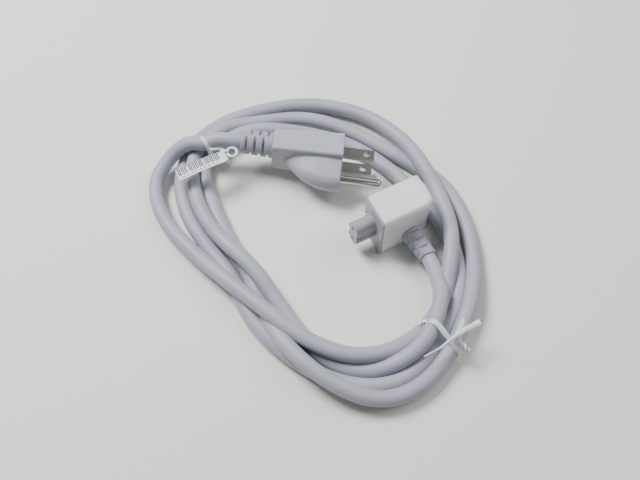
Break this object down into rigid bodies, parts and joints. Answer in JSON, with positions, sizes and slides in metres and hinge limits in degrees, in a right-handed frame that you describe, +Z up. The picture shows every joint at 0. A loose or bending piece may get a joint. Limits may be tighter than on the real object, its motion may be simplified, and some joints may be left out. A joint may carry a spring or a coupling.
{
  "type": "laptop power adapter mains extension lead",
  "caption": "Coiled grey mains lead for a laptop adapter, with a white corner connector, a moulded three-pin plug, two twist ties and a label.",
  "frame": {"origin": "under the middle of the adapter-end connector, on the surface the lead lies on", "axes": "-X the way the connector's nose points, -Y the side its cord leaves from, +Z up"},
  "size_m": [0.1494, 0.1859, 0.0285],
  "materials": {
    "gloss_white": "gloss",
    "cover_grey": "satin",
    "cord_grey": "matte",
    "contact_nickel": "satin nickel",
    "carrier_black": "matte",
    "crimp_brass": "satin",
    "wire_black": "satin",
    "wire_white": "satin",
    "wire_green": "satin",
    "tie_white": "satin",
    "tie_steel": "bright",
    "label_paper": "paper"
  },
  "bodies": {
    "lead": {"connector_shell": "gloss_white", "connector_inner_cover": "cover_grey", "connector_nose": "cover_grey", "line_socket": "contact_nickel", "neutral_socket": "contact_nickel", "contact_carrier": "carrier_black", "connector_strain_relief": "cord_grey", "connector_line_wire": "wire_black", "connector_neutral_wire": "wire_white", "connector_earth_wire": "wire_green", "plug_body": "cord_grey", "plug_core": "carrier_black", "neutral_blade": "contact_nickel", "line_blade": "contact_nickel", "earth_pin": "contact_nickel", "neutral_crimp": "crimp_brass", "line_crimp": "crimp_brass", "earth_crimp": "crimp_brass", "plug_neutral_wire": "wire_white", "plug_line_wire": "wire_black", "plug_earth_wire": "wire_green", "plug_strain_relief": "cord_grey", "cord_coil": "cord_grey", "cord_plug_lead": "cord_grey", "cord_connector_lead": "cord_grey", "left_tie": "tie_white", "left_tie_wire": "tie_steel", "right_tie": "tie_white", "right_tie_wire": "tie_steel"},
    "earth_leaf_lower": {"earth_spring_lower": "contact_nickel"},
    "earth_leaf_upper": {"earth_spring_upper": "contact_nickel"},
    "label": {"label_flag": "label_paper"}
  },
  "joints": [
    {"name": "earth_spring_lower_press", "type": "slide", "parent": "lead", "child": "earth_leaf_lower", "axis": [0, -1, 0], "range_m": [0, 0.0004], "stiffness_N_per_m": 1500},
    {"name": "earth_spring_upper_press", "type": "slide", "parent": "lead", "child": "earth_leaf_upper", "axis": [0, -1, 0], "range_m": [0, 0.0004], "stiffness_N_per_m": 1500},
    {"name": "label_swing", "type": "hinge", "parent": "lead", "child": "label", "pos_m": [-0.0572, 0.07, 0.0176], "axis": [0, 1, 0], "range_deg": [0, 70]}
  ]
}
